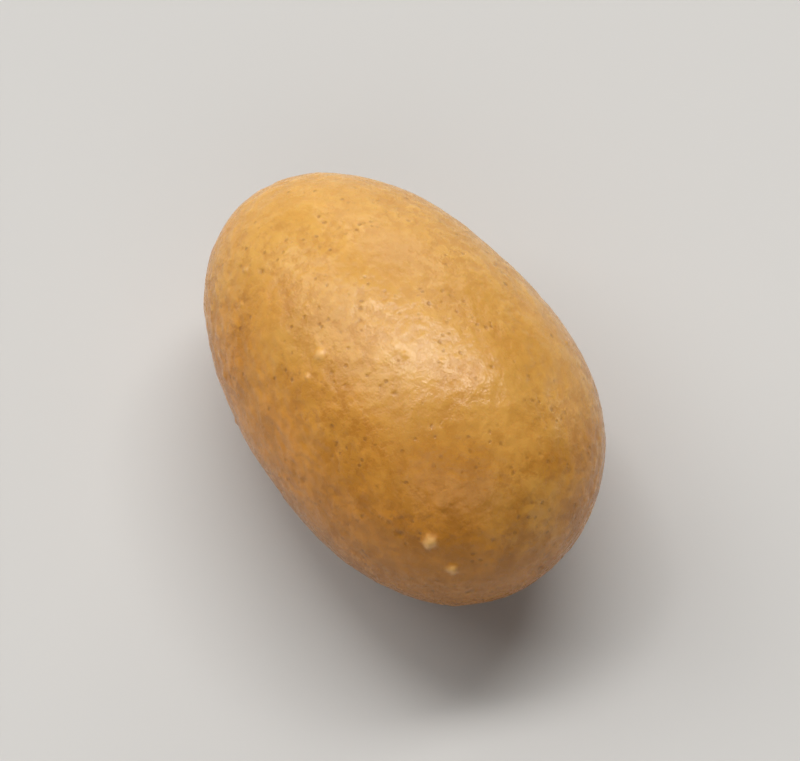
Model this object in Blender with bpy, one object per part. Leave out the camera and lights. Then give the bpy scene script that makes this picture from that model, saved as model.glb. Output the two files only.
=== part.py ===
"""A Japanese peanut: a roasted kernel rolled up in flour dough, browned with soy sauce and baked crisp.

Only the crust can be seen, and it shuts the kernel in on every side, so the peanut is one solid. It is
an egg that drum-rolling left a little uneven. It lies on its side, on the small flat spot that it was
baked on. X runs along the egg to its blunt end, Z is up, and the flat spot is at Z = 0.
"""

import math

import bmesh
import bpy
from mathutils import Matrix, Vector, noise

# The egg, in metres.
LENGTH = 0.0205
WIDTH = 0.0134
HEIGHT = 0.0132
FLAT_SPOT_DEPTH = 0.00014

# The egg's girth, as shares of its width: how much it grows towards the blunt end, and how full it
# stays towards both ends, compared with a plain stretched ball.
BLUNT_END_GROWTH = 0.09
FULL_ENDS = 0.12

# An egg at rest dips its small end a little.
LEAN = math.radians(3)

# Broad swellings and flattenings of the dough: which side of the egg they are on, how far they lift
# the surface in metres, and how far round the egg they reach.
SWELLINGS = (
    (Vector((-0.30, 0.95, 0.10)), -0.00014, math.radians(34)),
    (Vector((-0.35, -0.55, 0.75)), -0.00016, math.radians(30)),
    (Vector((0.60, 0.55, 0.55)), 0.00014, math.radians(32)),
    (Vector((0.92, -0.38, 0.05)), 0.00018, math.radians(26)),
    (Vector((0.88, 0.45, -0.10)), -0.00018, math.radians(28)),
    (Vector((-0.85, -0.35, 0.40)), 0.00010, math.radians(26)),
    (Vector((-0.95, 0.25, 0.10)), -0.00012, math.radians(24)),
)

# Low waves all over the dough: their length and height, in metres.
WAVES = (
    (0.0052, 0.00009),
    (0.0024, 0.00004),
)

# Every edge of a 20-sided ball is cut into this many, which sets how fine the solid is.
EDGE_CUTS = 15

CRUST_COLOUR = (0.60, 0.31, 0.095, 1.0)
CRUST_ROUGHNESS = 0.5


def egg_point(towards):
    """The even egg's surface point, from its middle, for a direction of the ball it is stretched from."""
    along = towards.x
    girth = 1 + BLUNT_END_GROWTH * along + FULL_ENDS * along**2
    return Vector((
        LENGTH / 2 * along,
        WIDTH / 2 * girth * towards.y,
        HEIGHT / 2 * girth * towards.z,
    ))


def swelling_height(towards):
    """How far the broad swellings and flattenings lift the surface in this direction."""
    return sum(
        height * math.exp(-((towards.angle(middle) / reach) ** 2))
        for middle, height, reach in SWELLINGS
    )


def wave_height(point):
    """How far the low waves lift the surface at this point."""
    return sum(height * noise.noise(point / length) for length, height in WAVES)


def dough_point(towards):
    """The uneven egg's surface point: the even one, moved along its own radius."""
    point = egg_point(towards)
    lift = swelling_height(towards) + wave_height(point)
    return point + lift * point.normalized()


def ball(mesh):
    """Fills the mesh with a ball of radius 1 whose triangles are all much the same size."""
    bmesh.ops.create_icosphere(mesh, subdivisions=1, radius=1)
    bmesh.ops.subdivide_edges(mesh, edges=mesh.edges, cuts=EDGE_CUTS, use_grid_fill=True)
    for vertex in mesh.verts:
        vertex.co.normalize()


def lay_down(mesh):
    """Leans the egg as it rests, and puts the level of its flat spot at Z = 0."""
    bmesh.ops.rotate(mesh, verts=mesh.verts, matrix=Matrix.Rotation(-LEAN, 3, "Y"))
    lowest = min(vertex.co.z for vertex in mesh.verts)
    bmesh.ops.translate(mesh, verts=mesh.verts, vec=(0, 0, -lowest - FLAT_SPOT_DEPTH))


def press_flat_spot(mesh):
    """Cuts the egg off at Z = 0 and closes the cut with one flat face."""
    everything = mesh.verts[:] + mesh.edges[:] + mesh.faces[:]
    cut = bmesh.ops.bisect_plane(
        mesh, geom=everything, plane_co=(0, 0, 0), plane_no=(0, 0, -1), clear_outer=True
    )
    rim = [piece for piece in cut["geom_cut"] if isinstance(piece, bmesh.types.BMEdge)]
    bmesh.ops.contextual_create(mesh, geom=rim)
    bmesh.ops.recalc_face_normals(mesh, faces=mesh.faces)


def centre_over_origin(mesh):
    """Moves the egg sideways, so that the middle of its box is over the origin."""
    for axis in (Vector((1, 0, 0)), Vector((0, 1, 0))):
        reach = [vertex.co.dot(axis) for vertex in mesh.verts]
        middle = (min(reach) + max(reach)) / 2
        bmesh.ops.translate(mesh, verts=mesh.verts, vec=-middle * axis)


def crust_material():
    """The baked crust: golden tan, with the low sheen that the soy glaze leaves."""
    material = bpy.data.materials.new("crust")
    material.use_nodes = True
    shader = material.node_tree.nodes["Principled BSDF"]
    shader.inputs["Base Color"].default_value = CRUST_COLOUR
    shader.inputs["Roughness"].default_value = CRUST_ROUGHNESS
    shader.inputs["Metallic"].default_value = 0
    return material


def add_peanut():
    """The whole peanut, as one object named peanut."""
    mesh = bmesh.new()
    ball(mesh)
    for vertex in mesh.verts:
        vertex.co = dough_point(vertex.co)
    lay_down(mesh)
    press_flat_spot(mesh)
    centre_over_origin(mesh)
    data = bpy.data.meshes.new("peanut")
    mesh.to_mesh(data)
    mesh.free()
    data.shade_smooth()
    data.set_sharp_from_angle(angle=math.radians(40))
    data.materials.append(crust_material())
    bpy.context.scene.collection.objects.link(bpy.data.objects.new("peanut", data))


for leftover in list(bpy.data.objects):
    bpy.data.objects.remove(leftover)
add_peanut()
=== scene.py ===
"""A Japanese peanut: a roasted kernel that was rolled up in flour dough, browned with soy sauce and baked.

It lies on its side on a pale table, in plain soft light, and the camera looks down on it. Everything is in
metres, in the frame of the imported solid: X runs along the egg to its blunt end, and Z is up.
"""

import math
import random

import bmesh
import bpy
from mathutils import Matrix, Vector, noise
from mathutils.kdtree import KDTree


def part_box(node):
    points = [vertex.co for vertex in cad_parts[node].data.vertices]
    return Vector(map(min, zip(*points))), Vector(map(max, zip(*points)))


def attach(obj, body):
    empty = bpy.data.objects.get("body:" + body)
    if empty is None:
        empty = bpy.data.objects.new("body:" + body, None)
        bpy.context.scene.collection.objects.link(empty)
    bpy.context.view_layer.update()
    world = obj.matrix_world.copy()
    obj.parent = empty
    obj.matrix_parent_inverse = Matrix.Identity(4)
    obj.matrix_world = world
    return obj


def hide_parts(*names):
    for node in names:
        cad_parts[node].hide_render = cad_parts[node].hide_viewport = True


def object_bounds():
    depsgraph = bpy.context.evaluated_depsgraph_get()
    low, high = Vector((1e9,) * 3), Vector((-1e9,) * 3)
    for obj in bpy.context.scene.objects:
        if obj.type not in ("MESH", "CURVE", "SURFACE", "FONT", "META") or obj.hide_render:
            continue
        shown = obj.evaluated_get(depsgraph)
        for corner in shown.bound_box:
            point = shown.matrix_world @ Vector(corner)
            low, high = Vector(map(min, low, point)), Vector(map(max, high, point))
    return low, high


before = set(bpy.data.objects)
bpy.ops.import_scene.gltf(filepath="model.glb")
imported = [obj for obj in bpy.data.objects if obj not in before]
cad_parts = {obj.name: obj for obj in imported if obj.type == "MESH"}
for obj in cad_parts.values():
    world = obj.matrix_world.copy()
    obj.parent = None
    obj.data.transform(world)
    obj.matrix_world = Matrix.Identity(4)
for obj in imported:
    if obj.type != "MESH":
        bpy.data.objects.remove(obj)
solid_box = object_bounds()


# ------------------------------------------------------------------------------------------ The crust
# The kernel is tumbled in flour and syrup until dough closes round it, and baked hard in a hot drum.
# That leaves an uneven egg with broad flats, low waves, a fine grain like orange peel, and here and
# there a pinhole where steam got out or a small blister where it didn't. Soy sauce browns and glazes it.

MM = 0.001

# The even egg. Its girth, as a share of its width and its height, grows towards the blunt end, and stays
# fuller towards both ends than the girth of a plain stretched ball.
LENGTH = 20.5 * MM
WIDTH = 13.4 * MM
HEIGHT = 13.2 * MM
BLUNT_END_GROWTH = 0.09
FULL_ENDS = 0.12

# An egg at rest dips its small end a little.
LEAN = math.radians(3)

# Which side of the egg each swelling or flattening is on, how far it lifts the surface, and its reach.
SWELLINGS = (
    (Vector((-0.30, 0.95, 0.10)), -0.14 * MM, math.radians(34)),
    (Vector((-0.35, -0.55, 0.75)), -0.16 * MM, math.radians(30)),
    (Vector((0.60, 0.55, 0.55)), 0.14 * MM, math.radians(32)),
    (Vector((0.92, -0.38, 0.05)), 0.18 * MM, math.radians(26)),
    (Vector((0.88, 0.45, -0.10)), -0.18 * MM, math.radians(28)),
    (Vector((-0.85, -0.35, 0.40)), 0.10 * MM, math.radians(26)),
    (Vector((-0.95, 0.25, 0.10)), -0.12 * MM, math.radians(24)),
)

# The length and the height of the waves in the dough, and of the grain of its skin.
WAVES = ((5.2 * MM, 0.09 * MM), (2.4 * MM, 0.04 * MM))
GRAIN = ((0.9 * MM, 0.018 * MM), (0.45 * MM, 0.018 * MM), (0.30 * MM, 0.014 * MM))
GRAIN_HEIGHT = sum(height for _, height in GRAIN)
# The grain is coarser in some places than in others: how far apart they lie, and how much it varies.
GRAIN_PATCH = 3.5 * MM
GRAIN_PATCH_CONTRAST = 0.9

# Pinholes and blisters: how many, how far each reaches from its middle, and how deep or high it is as a
# share of its reach. The seed picks their places.
SCATTER_SEED = 8
PINHOLES = 45
PINHOLE_REACH = (0.12 * MM, 0.20 * MM)
PINHOLE_STEEPNESS = 0.25
BLISTERS = 26
BLISTER_REACH = (0.12 * MM, 0.20 * MM)
BLISTER_STEEPNESS = 0.36
# The three blisters that catch the eye on the upper side: where each is, and its reach.
MAIN_BLISTERS = (
    (Vector((-0.8, -3.3, 11.9)) * MM, 0.38 * MM),
    (Vector((7.6, -4.0, 9.7)) * MM, 0.42 * MM),
    (Vector((8.7, -3.7, 8.6)) * MM, 0.34 * MM),
)
WIDEST_BLISTER = max(reach for _, reach in MAIN_BLISTERS)
# How far the outlines of pinholes and blisters stray from a circle, as a share of their reach, and how
# many bulges they have in that length.
RAGGEDNESS = 0.5
BULGES = 1.3

# How gently the flat spot under the egg runs out into its side.
FLAT_SPOT_EDGE = 0.04 * MM

# A 20-sided ball with its edges cut into 99 has just under 200,000 triangles.
EDGE_CUTS = 98


def ripple(point, lengths_and_heights):
    """The height of random waves of these lengths at this point."""
    return sum(height * noise.noise(point / length) for length, height in lengths_and_heights)


def dough_point(towards):
    """The smooth crust's surface point, from its middle, for a direction of the ball it starts as."""
    girth = 1 + BLUNT_END_GROWTH * towards.x + FULL_ENDS * towards.x**2
    point = Vector((
        LENGTH / 2 * towards.x,
        WIDTH / 2 * girth * towards.y,
        HEIGHT / 2 * girth * towards.z,
    ))
    swelling = sum(
        height * math.exp(-((towards.angle(middle) / reach) ** 2))
        for middle, height, reach in SWELLINGS
    )
    return point + (swelling + ripple(point, WAVES)) * point.normalized()


def grain_height(point):
    """How far the skin's grain lifts the surface at this point."""
    coarseness = 1 + GRAIN_PATCH_CONTRAST * noise.noise(point / GRAIN_PATCH)
    return coarseness * ripple(point, GRAIN)


def box_of(mesh):
    """The lowest and the highest corner of the mesh's box."""
    axes = list(zip(*(vertex.co for vertex in mesh.verts)))
    return Vector([min(axis) for axis in axes]), Vector([max(axis) for axis in axes])


def at_random(mesh, count, reaches):
    """Middles and reaches of domes that are scattered over the crust."""
    return [(random.choice(mesh.verts).co, random.uniform(*reaches)) for _ in range(count)]


def domes(mesh, skin, middles_and_reaches):
    """Ragged domes on the crust, each as high as its reach: how high each vertex is on one."""
    heights = [0.0] * len(mesh.verts)
    for middle, reach in middles_and_reaches:
        for point, index, away in skin.find_range(middle, reach * (1 + RAGGEDNESS)):
            stray = noise.noise((point - middle) / reach * BULGES + middle / MM)
            share = away / reach / (1 + RAGGEDNESS * stray)
            heights[index] = max(heights[index], reach * max(0, 1 - share**2) ** 2)
    return heights


random.seed(SCATTER_SEED)
crust_mesh = bmesh.new()
bmesh.ops.create_icosphere(crust_mesh, subdivisions=1, radius=1)
bmesh.ops.subdivide_edges(crust_mesh, edges=crust_mesh.edges, cuts=EDGE_CUTS, use_grid_fill=True)
for vertex in crust_mesh.verts:
    vertex.co = dough_point(vertex.co.normalized())

# The egg leans as it rests, and goes where the solid is.
bmesh.ops.rotate(crust_mesh, verts=crust_mesh.verts, matrix=Matrix.Rotation(-LEAN, 3, "Y"))
low, high = box_of(crust_mesh)
solid_low, solid_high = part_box("peanut")
bmesh.ops.translate(
    crust_mesh,
    verts=crust_mesh.verts,
    vec=(
        (solid_low.x + solid_high.x - low.x - high.x) / 2,
        (solid_low.y + solid_high.y - low.y - high.y) / 2,
        solid_high.z - high.z,
    ),
)

# Skin grain, pinholes and blisters. The material colours them by the attributes that are left here.
crust_mesh.normal_update()
crust_mesh.verts.ensure_lookup_table()
skin = KDTree(len(crust_mesh.verts))
for vertex in crust_mesh.verts:
    skin.insert(vertex.co, vertex.index)
skin.balance()
main_blisters = [(skin.find(middle)[0], reach) for middle, reach in MAIN_BLISTERS]
pinholes = domes(crust_mesh, skin, at_random(crust_mesh, PINHOLES, PINHOLE_REACH))
blisters = domes(crust_mesh, skin, main_blisters + at_random(crust_mesh, BLISTERS, BLISTER_REACH))
grain_layer = crust_mesh.verts.layers.float.new("grain")
pinhole_layer = crust_mesh.verts.layers.float.new("pinhole")
blister_layer = crust_mesh.verts.layers.float.new("blister")
for vertex, pinhole, blister in zip(crust_mesh.verts, pinholes, blisters):
    grain = grain_height(vertex.co)
    vertex[grain_layer] = grain / GRAIN_HEIGHT
    vertex[pinhole_layer] = pinhole / PINHOLE_REACH[1]
    vertex[blister_layer] = blister / WIDEST_BLISTER
    lift = grain + BLISTER_STEEPNESS * blister - PINHOLE_STEEPNESS * pinhole
    vertex.co += lift * vertex.normal

# The flat spot that it rests on: whatever is lower than the table is pressed up to it.
for vertex in crust_mesh.verts:
    vertex.co.z = (vertex.co.z + math.hypot(vertex.co.z, FLAT_SPOT_EDGE)) / 2

crust_data = bpy.data.meshes.new("crust")
crust_mesh.to_mesh(crust_data)
crust_mesh.free()
crust_data.shade_smooth()
crust = bpy.data.objects.new("crust", crust_data)
bpy.context.scene.collection.objects.link(crust)


class Amount:
    """A number that varies over the crust. Sums and products of it add the Math nodes that work it out."""

    def __init__(self, socket):
        self.socket = socket

    def worked_out(self, operation, first, second):
        node = self.socket.node.id_data.nodes.new("ShaderNodeMath")
        node.operation = operation
        for value, entry in zip((first, second), node.inputs):
            if isinstance(value, Amount):
                node.id_data.links.new(value.socket, entry)
            else:
                entry.default_value = value
        return Amount(node.outputs[0])

    def __add__(self, other):
        return self.worked_out("ADD", self, other)

    def __radd__(self, other):
        return self.worked_out("ADD", other, self)

    def __sub__(self, other):
        return self.worked_out("SUBTRACT", self, other)

    def __rsub__(self, other):
        return self.worked_out("SUBTRACT", other, self)

    def __mul__(self, other):
        return self.worked_out("MULTIPLY", self, other)

    def __rmul__(self, other):
        return self.worked_out("MULTIPLY", other, self)


def socket_of(sockets, name):
    """The first of these sockets that has this identifier or this name."""
    return next(socket for socket in sockets if name in (socket.identifier, socket.name))


class Finish:
    """A material whose nodes are added one by one."""

    def __init__(self, name):
        self.material = bpy.data.materials.new(name)
        self.material.use_nodes = True
        self.tree = self.material.node_tree
        self.tree.nodes.clear()

    def add(self, kind, settings, entries, result=None):
        """Adds a node of this kind, and gives back the output that is named as its result.

        Its settings are made first, and then its sockets get their values or links.
        """
        node = self.tree.nodes.new(kind)
        for name, value in settings.items():
            setattr(node, name, value)
        for name, value in entries.items():
            entry = socket_of(node.inputs, name)
            if isinstance(value, Amount):
                self.tree.links.new(value.socket, entry)
            else:
                entry.default_value = value
        if result is None:
            return None
        return Amount(socket_of(node.outputs, result))


# The colours of the crust from pale to scorched, and the bare dough of a blister's skin. Amber and the
# toasted brown are also the painted shade towards the underside, and the blister's pale dough is partly a
# painted glint.
STRAW = (0.72, 0.388, 0.088, 1)
SHADED_AMBER = (0.688, 0.280, 0.037, 1)
TOASTED_AND_SHADED = (0.43, 0.165, 0.014, 1)
RUSSET = (0.42, 0.148, 0.007, 1)
BROWN = (0.25, 0.092, 0.010, 1)
PALE_DOUGH_AND_GLINT = (0.84, 0.46, 0.14, 1)

# Painted shade: the upper side is left straw coloured, and the crust is darkened to amber and then to
# toasted brown towards the underside. These are the way to the pale upper side, where along that way the
# colours change, and how far big soft patches shift those limits. From here on, places on the crust are in
# millimetres.
PALE_SIDE = (-0.35, 0.45, 0.82)
STRAW_ABOVE = 11.5
AMBER_BELOW = 3.5
DEEPEST_SHADE_BELOW = -1.5
PATCH_SHIFT = 6
# Where the drum's wall scorched it a little more on its upper side, and how far each such place reaches.
SCORCHED_PLACES = (
    ((-2.4, 1.5, 12.5), 2.6),
    ((0.9, 2.6, 12.6), 2.6),
    ((4.0, 3.0, 12.3), 2.8),
    ((5.0, -2.3, 12.3), 3.0),
    ((7.7, -1.4, 11.4), 1.2),
)
# A place low on its blunt end where the painted shade is lifted, so it is paler there: where it is, how
# far that reaches, and how much paler it is.
PALE_PLACE = (9.2, 0.3, 10.1)
PALE_REACH = 3.4
PALER_BY = 0.55
# How far the edges of these places stray.
PLACE_RAGGEDNESS = 3

# Pits, smaller than the pinholes: how many lie in a millimetre, how far each reaches and how far its edge
# strays, as shares of their spacing, the edge's bulges in one spacing, and how much of a pit is its floor.
PITS_PER_MM = 2.2
PIT_REACH = 0.27
PIT_RAGGEDNESS = 0.3
PIT_BULGES = 3
PIT_FLOOR = 0.3
# The finest relief, which the mesh leaves out: how high the last of the grain stands, and how deep pits
# and specks lie, in millimetres too.
LAST_GRAIN_HEIGHT = 0.020
PIT_DEPTH = 0.014
SPECK_DEPTH = 0.010

# How strongly each layer of colour shows where it is at its fullest, the first being the deeper painted
# shade on the underside. Mottles and specks show more where the painted shade is darker, towards the
# underside.
DEEPER_SHADE_SHOWS = 0.8
SCORCHED_SHOWS = 0.32
MOTTLES_SHOW = 0.16
MOTTLES_SHOW_MORE = 0.40
SPECKS_SHOW = 0.36
SPECKS_SHOW_MORE = 0.30
HOLLOW_SYRUP_AND_SHADE_SHOWS = 0.15
PITS_SHOW = 0.50
PINHOLES_SHOW = 0.6
BLISTER_DOUGH_AND_GLINT_SHOWS = 0.9

# The soy glaze, and how much rougher it dries on specks. Under it the dough lets a little light in, the
# red further than the green and the blue.
GLAZE_ROUGHNESS = 0.26
SPECK_ROUGHNESS = 0.08
GLAZE_GLOSS = 0.42
LIGHT_LET_IN = 0.10
LIGHT_REACH = 0.3 * MM
LIGHT_REACH_BY_COLOUR = (1.0, 0.5, 0.2)

# Random clouds are about this much on average.
CLOUD_AVERAGE = 0.5


def crust_finish():
    """Golden tan with paler and browner blotches and brown specks, under a soy glaze, with painted shade
    darker towards the underside and in the grain's hollows, and pale blisters that are partly a painted
    glint.
    """
    finish = Finish("crust")
    metres = finish.add("ShaderNodeTexCoord", {}, {}, "Object")
    place = finish.add(
        "ShaderNodeMapping", {}, {"Vector": metres, "Scale": (1 / MM, 1 / MM, 1 / MM)}, "Vector"
    )

    def attribute(name):
        """What the mesh holds under this name."""
        return finish.add("ShaderNodeAttribute", {"attribute_name": name}, {}, "Fac")

    def cloud(per_mm, detail, roughness=0.55, distortion=0.0):
        """Random clouds, about so many of them to the millimetre."""
        return finish.add(
            "ShaderNodeTexNoise",
            {"noise_dimensions": "3D"},
            {
                "Vector": place,
                "Scale": per_mm,
                "Detail": detail,
                "Roughness": roughness,
                "Distortion": distortion,
            },
            "Fac",
        )

    def ramped(value, none_at, full_at, none=0.0, full=1.0):
        """A smooth step from none to full, as the value goes from the one limit to the other."""
        return finish.add(
            "ShaderNodeMapRange",
            {"interpolation_type": "SMOOTHSTEP"},
            {"Value": value, "From Min": none_at, "From Max": full_at, "To Min": none, "To Max": full},
            "Result",
        )

    def blend(share, under, over):
        """The colour that this share of the one over the other makes."""
        return finish.add(
            "ShaderNodeMix",
            {"data_type": "RGBA"},
            {"Factor_Float": share, "A_Color": under, "B_Color": over},
            "Result_Color",
        )

    mottling = cloud(per_mm=0.8, detail=3)
    mottles = ramped(mottling, none_at=0.40, full_at=0.62)

    def around(middle, reach):
        """A place with a ragged soft edge: 1 at its middle, and 0 beyond its reach."""
        away = finish.add(
            "ShaderNodeVectorMath",
            {"operation": "DISTANCE"},
            {"Vector": place, "Vector_001": middle},
            "Value",
        )
        return ramped(away + (mottling - CLOUD_AVERAGE) * PLACE_RAGGEDNESS, none_at=reach, full_at=0)

    scorched = sum(around(middle, reach) for middle, reach in SCORCHED_PLACES)
    paler = around(PALE_PLACE, PALE_REACH) * PALER_BY

    # Painted shade: where the colours darken from the pale upper side towards the underside.
    patches = cloud(per_mm=0.35, detail=2, distortion=0.4) - CLOUD_AVERAGE
    towards_pale_side = finish.add(
        "ShaderNodeVectorMath",
        {"operation": "DOT_PRODUCT"},
        {"Vector": place, "Vector_001": PALE_SIDE},
        "Value",
    )
    shade = towards_pale_side - patches * PATCH_SHIFT
    painted_shade = ramped(shade, none_at=STRAW_ABOVE, full_at=AMBER_BELOW) * (1 - paler)
    deeper_painted_shade = ramped(shade, none_at=AMBER_BELOW, full_at=DEEPEST_SHADE_BELOW)

    # Specks of browned flour, which lie closer in some places than in others.
    speckling = cloud(per_mm=2.2, detail=4, roughness=0.7)
    speck_places = ramped(cloud(per_mm=0.3, detail=2), none_at=0.40, full_at=0.60, none=0.45)
    specks = ramped(speckling, none_at=0.42, full_at=0.64) * speck_places

    # Small pits, only in some places.
    nearest_pit = finish.add(
        "ShaderNodeTexVoronoi", {"feature": "F1"}, {"Vector": place, "Scale": PITS_PER_MM}, "Distance"
    )
    stray = cloud(per_mm=PITS_PER_MM * PIT_BULGES, detail=2) - CLOUD_AVERAGE
    ragged = nearest_pit + stray * PIT_RAGGEDNESS
    pit_places = ramped(cloud(per_mm=0.6, detail=2), none_at=0.40, full_at=0.60)
    pits = ramped(ragged, none_at=PIT_REACH, full_at=PIT_REACH * PIT_FLOOR) * pit_places

    # What the mesh holds: the hollows of its grain, its pinholes and its blisters. The hollows are
    # darkened, partly for syrup gathered there and partly as painted shade, and the blisters' pale skins
    # are partly a painted glint.
    hollow_syrup_and_shade = ramped(attribute("grain"), none_at=0.35, full_at=-0.35)
    blister_dough_and_glint = ramped(attribute("blister"), none_at=0.05, full_at=0.70)

    # Painted shade first: darker amber, then toasted brown, towards the underside.
    colour = blend(painted_shade, STRAW, SHADED_AMBER)
    colour = blend(deeper_painted_shade * DEEPER_SHADE_SHOWS, colour, TOASTED_AND_SHADED)
    colour = blend(scorched * SCORCHED_SHOWS, colour, TOASTED_AND_SHADED)
    colour = blend(mottles * (painted_shade * MOTTLES_SHOW_MORE + MOTTLES_SHOW), colour, TOASTED_AND_SHADED)
    colour = blend(specks * (painted_shade * SPECKS_SHOW_MORE + SPECKS_SHOW), colour, RUSSET)
    # Painted shade in the grain's hollows, partly syrup that gathers there.
    colour = blend(hollow_syrup_and_shade * HOLLOW_SYRUP_AND_SHADE_SHOWS, colour, TOASTED_AND_SHADED)
    colour = blend(pits * PITS_SHOW, colour, BROWN)
    colour = blend(attribute("pinhole") * PINHOLES_SHOW, colour, BROWN)
    # Pale blister skins, partly a painted glint.
    colour = blend(blister_dough_and_glint * BLISTER_DOUGH_AND_GLINT_SHOWS, colour, PALE_DOUGH_AND_GLINT)

    last_grain = cloud(per_mm=4, detail=3, roughness=0.6)
    height = last_grain * LAST_GRAIN_HEIGHT - pits * PIT_DEPTH - specks * SPECK_DEPTH
    relief = finish.add(
        "ShaderNodeBump", {}, {"Strength": 1.0, "Distance": MM, "Height": height}, "Normal"
    )
    surface = finish.add(
        "ShaderNodeBsdfPrincipled",
        {"subsurface_method": "RANDOM_WALK"},
        {
            "Base Color": colour,
            "Roughness": GLAZE_ROUGHNESS + specks * SPECK_ROUGHNESS,
            "Normal": relief,
            "Subsurface Weight": LIGHT_LET_IN,
            "Subsurface Radius": LIGHT_REACH_BY_COLOUR,
            "Subsurface Scale": LIGHT_REACH,
            "Specular IOR Level": GLAZE_GLOSS,
        },
        "BSDF",
    )
    finish.add("ShaderNodeOutputMaterial", {}, {"Surface": surface})
    return finish.material


crust_data.materials.append(crust_finish())
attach(crust, "root")
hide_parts("peanut")


# --------------------------------------------------------------------------- The table and the studio
# A table painted a plain pale grey. A long narrow soft lamp hangs a little beyond the peanut and lays the
# slanting highlight on its glaze. Four weaker ones fill in from the left, the far side, the right and the
# front. The camera looks steeply down through a long lens.

TABLE_SIDE = 10.0
TABLE_PAINT = (0.57, 0.555, 0.53, 1)
TABLE_ROUGHNESS = 0.7

table_mesh = bmesh.new()
bmesh.ops.create_grid(table_mesh, x_segments=1, y_segments=1, size=TABLE_SIDE / 2)
table_data = bpy.data.meshes.new("table")
table_mesh.to_mesh(table_data)
table_mesh.free()
table = bpy.data.objects.new("table", table_data)
bpy.context.scene.collection.objects.link(table)
table_finish = Finish("table")
paint = table_finish.add(
    "ShaderNodeBsdfPrincipled", {}, {"Base Color": TABLE_PAINT, "Roughness": TABLE_ROUGHNESS}, "BSDF"
)
table_finish.add("ShaderNodeOutputMaterial", {}, {"Surface": paint})
table_data.materials.append(table_finish.material)

CAMERA_AZIMUTH = math.radians(54.3)
CAMERA_ELEVATION = math.radians(66)
LENS = 300
SENSOR = 36
VIEW_WIDTH = 33 * MM

# The camera's own back, right and up, from the middle of the peanut.
camera_back = Vector((
    math.sin(CAMERA_AZIMUTH) * math.cos(CAMERA_ELEVATION),
    -math.cos(CAMERA_AZIMUTH) * math.cos(CAMERA_ELEVATION),
    math.sin(CAMERA_ELEVATION),
))
camera_right = Vector((math.cos(CAMERA_AZIMUTH), math.sin(CAMERA_AZIMUTH), 0))
camera_up = camera_back.cross(camera_right)
peanut_middle = (solid_box[0] + solid_box[1]) / 2

camera_data = bpy.data.cameras.new("camera")
camera_data.lens = LENS
camera_data.sensor_width = SENSOR
camera = bpy.data.objects.new("camera", camera_data)
camera.location = peanut_middle + camera_back * (VIEW_WIDTH * LENS / SENSOR)
camera.rotation_euler = camera_back.to_track_quat("Z", "Y").to_euler()
bpy.context.scene.collection.objects.link(camera)
bpy.context.scene.camera = camera

LAMP_DISTANCE = 3.0


def soft_lamp(name, back, up, right, width, height, watts, turn=0):
    """A lamp with a flat face towards the peanut, turned by so many degrees in its own plane.

    Back, up and right say which way it stands from the peanut, as the camera has them.
    """
    towards = camera_back * back + camera_up * up + camera_right * right
    lamp_data = bpy.data.lights.new(name, "AREA")
    lamp_data.shape = "RECTANGLE"
    lamp_data.size = width
    lamp_data.size_y = height
    lamp_data.energy = watts
    lamp = bpy.data.objects.new(name, lamp_data)
    lamp.location = peanut_middle + towards.normalized() * LAMP_DISTANCE
    facing = towards.to_track_quat("Z", "Y").to_matrix()
    lamp.rotation_euler = (facing @ Matrix.Rotation(math.radians(turn), 3, "Z")).to_euler()
    bpy.context.scene.collection.objects.link(lamp)


soft_lamp("main lamp", back=0.70, up=0.73, right=0.05, width=2.8, height=0.6, watts=66, turn=18)
soft_lamp("left lamp", back=0.52, up=0.58, right=-0.62, width=2.4, height=2.4, watts=45)
soft_lamp("far lamp", back=0, up=0.99, right=0.10, width=2.0, height=1.6, watts=22)
soft_lamp("right lamp", back=0, up=0.36, right=0.93, width=0.9, height=0.5, watts=5)
soft_lamp("front lamp", back=0.86, up=-0.40, right=-0.02, width=3.6, height=1.6, watts=17)

ROOM_COLOUR = (1, 1, 1, 1)
ROOM_LIGHT = 0.03

room = bpy.data.worlds.new("room")
room.use_nodes = True
backdrop = room.node_tree.nodes["Background"]
backdrop.inputs["Color"].default_value = ROOM_COLOUR
backdrop.inputs["Strength"].default_value = ROOM_LIGHT
bpy.context.scene.world = room
bpy.context.scene.view_settings.view_transform = "Standard"
